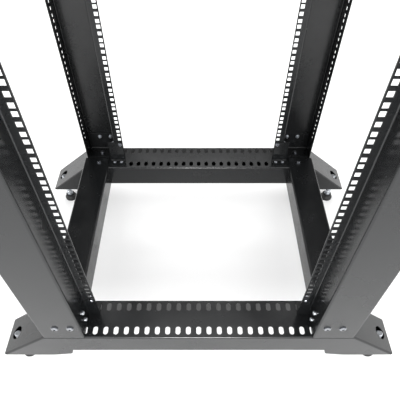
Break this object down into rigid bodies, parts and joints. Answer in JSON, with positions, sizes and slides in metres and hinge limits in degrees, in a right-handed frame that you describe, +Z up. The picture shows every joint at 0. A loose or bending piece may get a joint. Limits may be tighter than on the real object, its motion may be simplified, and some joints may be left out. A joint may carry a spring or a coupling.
{
  "type": "open-frame four-post server rack",
  "caption": "Open-frame rack for 19 inch equipment: square-hole rails on folded steel posts, slotted base beams with sloped feet and levelling pads",
  "frame": {"origin": "on the floor, midway between the four posts", "axes": "+X to the right seen from the front, +Y to the back, +Z up"},
  "size_m": [0.924, 0.641, 1.1581],
  "materials": {
    "frame_steel": "satin black powder coat",
    "bracket_steel": "satin black powder coat",
    "plated_steel": "bright zinc plate",
    "pad_nylon": "moulded black nylon"
  },
  "bodies": {
    "root": {"base_beam_front": "frame_steel", "top_beam_front": "frame_steel", "base_beam_rear": "frame_steel", "top_beam_rear": "frame_steel", "bottom_side_beam_left": "frame_steel", "top_side_beam_left": "frame_steel", "bottom_side_beam_right": "frame_steel", "top_side_beam_right": "frame_steel", "post_front_left": "frame_steel", "foot_plate_front_left": "bracket_steel", "leveller_stud_front_left": "plated_steel", "leveller_nut_front_left": "plated_steel", "leveller_pad_front_left": "pad_nylon", "bottom_post_bracket_front_left": "bracket_steel", "bottom_rail_foot_front_left": "bracket_steel", "top_post_bracket_front_left": "bracket_steel", "top_rail_foot_front_left": "bracket_steel", "post_front_right": "frame_steel", "foot_plate_front_right": "bracket_steel", "leveller_stud_front_right": "plated_steel", "leveller_nut_front_right": "plated_steel", "leveller_pad_front_right": "pad_nylon", "bottom_post_bracket_front_right": "bracket_steel", "bottom_rail_foot_front_right": "bracket_steel", "top_post_bracket_front_right": "bracket_steel", "top_rail_foot_front_right": "bracket_steel", "post_rear_left": "frame_steel", "foot_plate_rear_left": "bracket_steel", "leveller_stud_rear_left": "plated_steel", "leveller_nut_rear_left": "plated_steel", "leveller_pad_rear_left": "pad_nylon", "bottom_post_bracket_rear_left": "bracket_steel", "bottom_rail_foot_rear_left": "bracket_steel", "top_post_bracket_rear_left": "bracket_steel", "top_rail_foot_rear_left": "bracket_steel", "post_rear_right": "frame_steel", "foot_plate_rear_right": "bracket_steel", "leveller_stud_rear_right": "plated_steel", "leveller_nut_rear_right": "plated_steel", "leveller_pad_rear_right": "pad_nylon", "bottom_post_bracket_rear_right": "bracket_steel", "bottom_rail_foot_rear_right": "bracket_steel", "top_post_bracket_rear_right": "bracket_steel", "top_rail_foot_rear_right": "bracket_steel"}
  },
  "joints": []
}
